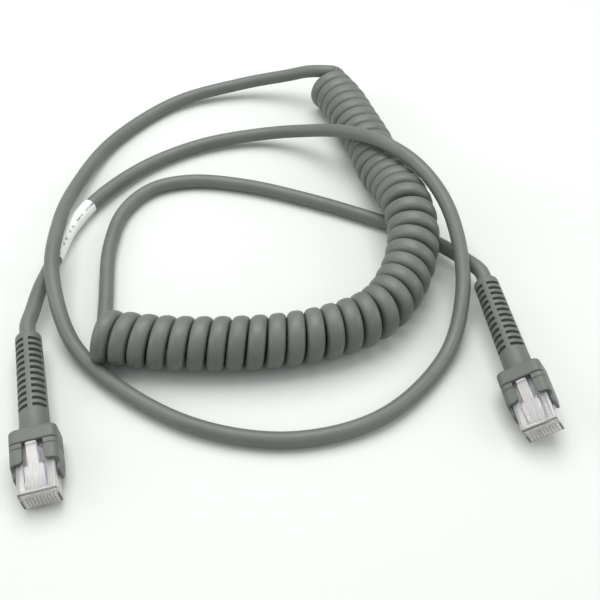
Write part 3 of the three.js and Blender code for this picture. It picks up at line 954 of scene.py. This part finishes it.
def make_hood(plug, settings):
    name = plug + "_hood_shell"
    rings = []
    for x, lean in ((SEAM + CLEARANCE / 2, 0.0), (HOOD_FRONT - 1.0, 0.0), (HOOD_FRONT + 1.0, 0.3),
                    (ARM_TIP, 1.0)):
        rings.append(rim_ring(x, HOOD_SIDES, HOOD_WIDTH - 2 * lean * settings.taper, HOOD_HEIGHT,
                              HOOD_CORNER, HOOD_MIDDLE))
    piece = new_object(name, solid_mesh(name, *loft(rings)))
    piece = carve(piece, hood_tools(settings))
    voxels = piece.modifiers.new("voxels", "REMESH")
    voxels.mode = "VOXEL"
    voxels.voxel_size = settings.grain
    soften = piece.modifiers.new("soften", "SMOOTH")
    soften.factor = 0.5
    soften.iterations = settings.rounding
    piece = baked(piece)
    piece.data.transform(plug_space(plug))
    finished(piece, looks()["moulded_pvc"], 80)
    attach(piece, BODY)
    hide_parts(plug + "_hood")


def rounded_copy(node, name, width):
    """A copy of a CAD node with its doubles merged, its flats made whole and its edges rounded."""
    mesh = frame["nodes"][node].data.copy()
    shape = bmesh.new()
    shape.from_mesh(mesh)
    bmesh.ops.remove_doubles(shape, verts=shape.verts, dist=1e-6)
    bmesh.ops.dissolve_limit(shape, angle_limit=math.radians(1), verts=shape.verts, edges=shape.edges)
    shape.to_mesh(mesh)
    shape.free()
    piece = new_object(name, mesh)
    bevel = piece.modifiers.new("edges", "BEVEL")
    bevel.width = width
    bevel.segments = 2
    bevel.limit_method = "ANGLE"
    bevel.angle_limit = math.radians(30)
    return baked(piece)


def make_clear_body(plug, settings):
    piece = rounded_copy(plug + "_plug_body", plug + "_clear_body", settings.edge)
    inward = plug_space(plug).inverted()
    local = [value for vertex in piece.data.vertices for value in inward @ vertex.co]
    piece.data.attributes.new("local", "FLOAT_VECTOR", "POINT").data.foreach_set("vector", local)
    finished(piece, looks()["clear_plug_painted_shade"], 25)
    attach(piece, BODY)
    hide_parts(plug + "_plug_body")


def latch_rings():
    """Rounded bars across the latch, from its root at the nose to its free end."""
    stations = [(LATCH_FRONT, LATCH_ROOT_WIDTH - 0.3, 0.75), (LATCH_FRONT - 0.2, LATCH_ROOT_WIDTH, 0.9),
                (-3.5, LATCH_ROOT_WIDTH, 1.05), (LATCH_STEP + 0.4, LATCH_ROOT_WIDTH, LATCH_THICKNESS)]
    for share in (0.15, 0.4, 0.7, 1.0):
        width = LATCH_ROOT_WIDTH + (LATCH_TAB_WIDTH - LATCH_ROOT_WIDTH) * ease(share)
        stations.append((LATCH_STEP + 0.2 - 0.8 * share, width, LATCH_THICKNESS))
    stations += [(-12.0, LATCH_TAB_WIDTH, LATCH_THICKNESS), (-14.9, LATCH_TAB_WIDTH, LATCH_THICKNESS),
                 (-15.2, LATCH_TAB_WIDTH, LATCH_THICKNESS + 0.35),
                 (LATCH_END + 0.25, LATCH_TAB_WIDTH, LATCH_THICKNESS + 0.35),
                 (LATCH_END + 0.06, LATCH_TAB_WIDTH - 0.15, LATCH_THICKNESS + 0.2),
                 (LATCH_END, LATCH_TAB_WIDTH - 0.6, LATCH_THICKNESS - 0.2)]
    rings = []
    for x, width, thickness in stations:
        under = LATCH_HINGE[1] - LATCH_DROP + max(0.0, LATCH_HINGE[0] - x) * LATCH_RISE
        rings.append(rim_ring(x, 64, width, thickness, 0.22, under + thickness / 2))
    return rings


def make_latch(plug):
    name = plug + "_latch_lever"
    piece = new_object(name, solid_mesh(name, *loft(latch_rings())))
    piece.data.transform(plug_space(plug))
    finished(piece, looks()["clear_plug_painted_shade"], 30)
    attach(piece, plug + "_latch_tab")
    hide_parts(plug + "_latch")


def dress(node, material):
    """A new finish for a CAD node that keeps its own shape."""
    for slot in frame["nodes"][node].material_slots:
        slot.link = "DATA"
        slot.material = looks()[material]


# ------------------------------------------------------------------ stage

def area_light(name, place, target, size, power):
    data = bpy.data.lights.new(name, "AREA")
    data.shape = "SQUARE"
    data.size = size
    data.energy = power
    lamp = new_object(name, data)
    lamp.location = place
    lamp.rotation_euler = (Vector(target) - Vector(place)).to_track_quat("-Z", "Y").to_euler()


def make_camera(settings):
    data = bpy.data.cameras.new("camera")
    data.lens = settings.lens
    data.sensor_width = 36.0
    data.clip_start, data.clip_end = 0.01, 20.0
    camera = new_object("camera", data)
    camera.location = settings.eye
    camera.rotation_euler = (math.pi / 2 - settings.pitch, 0, 0)
    bpy.context.scene.camera = camera


def make_floor(settings):
    reach = 6.0
    mesh = bpy.data.meshes.new("table_top")
    mesh.from_pydata([(-reach, -reach, 0), (reach, -reach, 0), (reach, reach, 0), (-reach, reach, 0)],
                     [], [(0, 1, 2, 3)])
    table = new_object("table_top", mesh)
    look = Shader("table_white")
    base = tuple(settings.floor)
    look.link(look.mixed(look.noise(6.0), toned(base, 0.98), toned(base, 1.02)), "Base Color")
    look.set(Roughness=0.6)
    table.data.materials.append(look.material)
    table.location.z = -0.0002


def make_lights(settings):
    world = bpy.data.worlds.new("studio")
    world.use_nodes = True
    sky = world.node_tree.nodes["Background"]
    sky.inputs["Color"].default_value = (1.0, 1.0, 1.0, 1.0)
    sky.inputs["Strength"].default_value = settings.sky
    scene = bpy.context.scene
    scene.world = world
    scene.view_settings.view_transform = "Standard"
    middle = (0.0, 0.06, 0.0)
    area_light("top_light", (-0.05, 0.30, 0.75), middle, 0.7, settings.top)
    area_light("left_light", (-0.65, 0.0, 0.35), middle, 0.4, settings.sides)
    area_light("right_light", (0.65, 0.05, 0.35), middle, 0.4, settings.sides)


# ------------------------------------------------------------------ operators

class CABLE_OT_camera(Operator):
    """Place the camera"""
    bl_idname = "cable.camera"
    bl_label = "Camera"

    def execute(self, context):
        make_camera(context.scene.cable_stage)
        return {"FINISHED"}


class CABLE_OT_strand(Operator):
    """Run the strand from boot to boot through the coil, and wrap its label round it"""
    bl_idname = "cable.strand"
    bl_label = "Strand and label"

    def execute(self, context):
        settings = context.scene.cable_strand
        strand, path = make_strand(settings)
        label = make_label(path, settings.diameter / 2)
        return {"FINISHED"}


class CABLE_OT_boots(Operator):
    """Mould the two slotted strain-relief boots"""
    bl_idname = "cable.boots"
    bl_label = "Boots"

    def execute(self, context):
        tree = slots_tree()
        for plug in PLUGS:
            make_boot(plug, context.scene.cable_boots, tree)
        return {"FINISHED"}


class CABLE_OT_hoods(Operator):
    """Mould the two hoods with their arms and latch windows"""
    bl_idname = "cable.hoods"
    bl_label = "Hoods"

    def execute(self, context):
        for plug in PLUGS:
            make_hood(plug, context.scene.cable_hoods)
        return {"FINISHED"}


class CABLE_OT_plugs(Operator):
    """Make the clear plug bodies and their latches"""
    bl_idname = "cable.plugs"
    bl_label = "Clear plugs"

    def execute(self, context):
        for plug in PLUGS:
            make_clear_body(plug, context.scene.cable_plugs)
            make_latch(plug)
        return {"FINISHED"}


class CABLE_OT_cores(Operator):
    """Finish the contacts, wires, load bars, inner moulds and jacket ends"""
    bl_idname = "cable.cores"
    bl_label = "Contacts and wires"

    def execute(self, context):
        for plug in PLUGS:
            dress(plug + "_load_bar", "milky_nylon")
            dress(plug + "_inner_mould", "milky_nylon")
            dress(plug + "_jacket_end", "moulded_pvc")
            for way, shade in zip(range(1, WAYS + 1), WIRE_COLOURS):
                dress(f"{plug}_contact_{way:02d}", "contact_gold")
                dress(f"{plug}_wire_{way:02d}", "wire_" + shade)
        return {"FINISHED"}


class CABLE_OT_stage(Operator):
    """Lay the table and set the studio light"""
    bl_idname = "cable.stage"
    bl_label = "Stage"

    def execute(self, context):
        make_floor(context.scene.cable_stage)
        make_lights(context.scene.cable_stage)
        return {"FINISHED"}


OPERATORS = (CABLE_OT_camera, CABLE_OT_strand, CABLE_OT_boots, CABLE_OT_hoods, CABLE_OT_plugs,
             CABLE_OT_cores, CABLE_OT_stage)
SETTINGS = {"cable_strand": StrandSettings, "cable_boots": BootSettings, "cable_hoods": HoodSettings,
            "cable_plugs": PlugSettings, "cable_looks": LookSettings, "cable_stage": StageSettings}


class CABLE_PT_panel(Panel):
    """The cable's settings and its steps"""
    bl_idname = "CABLE_PT_panel"
    bl_label = "Coiled interface cable"
    bl_space_type = "VIEW_3D"
    bl_region_type = "UI"
    bl_category = "Cable"

    def draw(self, context):
        for name, group in SETTINGS.items():
            box = self.layout.box()
            box.label(text=name.replace("_", " ").capitalize())
            for entry in group.__annotations__:
                box.prop(getattr(context.scene, name), entry)
        for step in OPERATORS:
            self.layout.operator(step.bl_idname)


def register():
    for made in (*SETTINGS.values(), *OPERATORS, CABLE_PT_panel):
        bpy.utils.register_class(made)
    for name, group in SETTINGS.items():
        setattr(bpy.types.Scene, name, PointerProperty(type=group))


def unregister():
    for name in SETTINGS:
        delattr(bpy.types.Scene, name)
    for made in reversed((*SETTINGS.values(), *OPERATORS, CABLE_PT_panel)):
        bpy.utils.unregister_class(made)


def main():
    register()
    for step in OPERATORS:
        group, action = step.bl_idname.split(".")
        getattr(getattr(bpy.ops, group), action)()


if __name__ == "__main__":
    main()
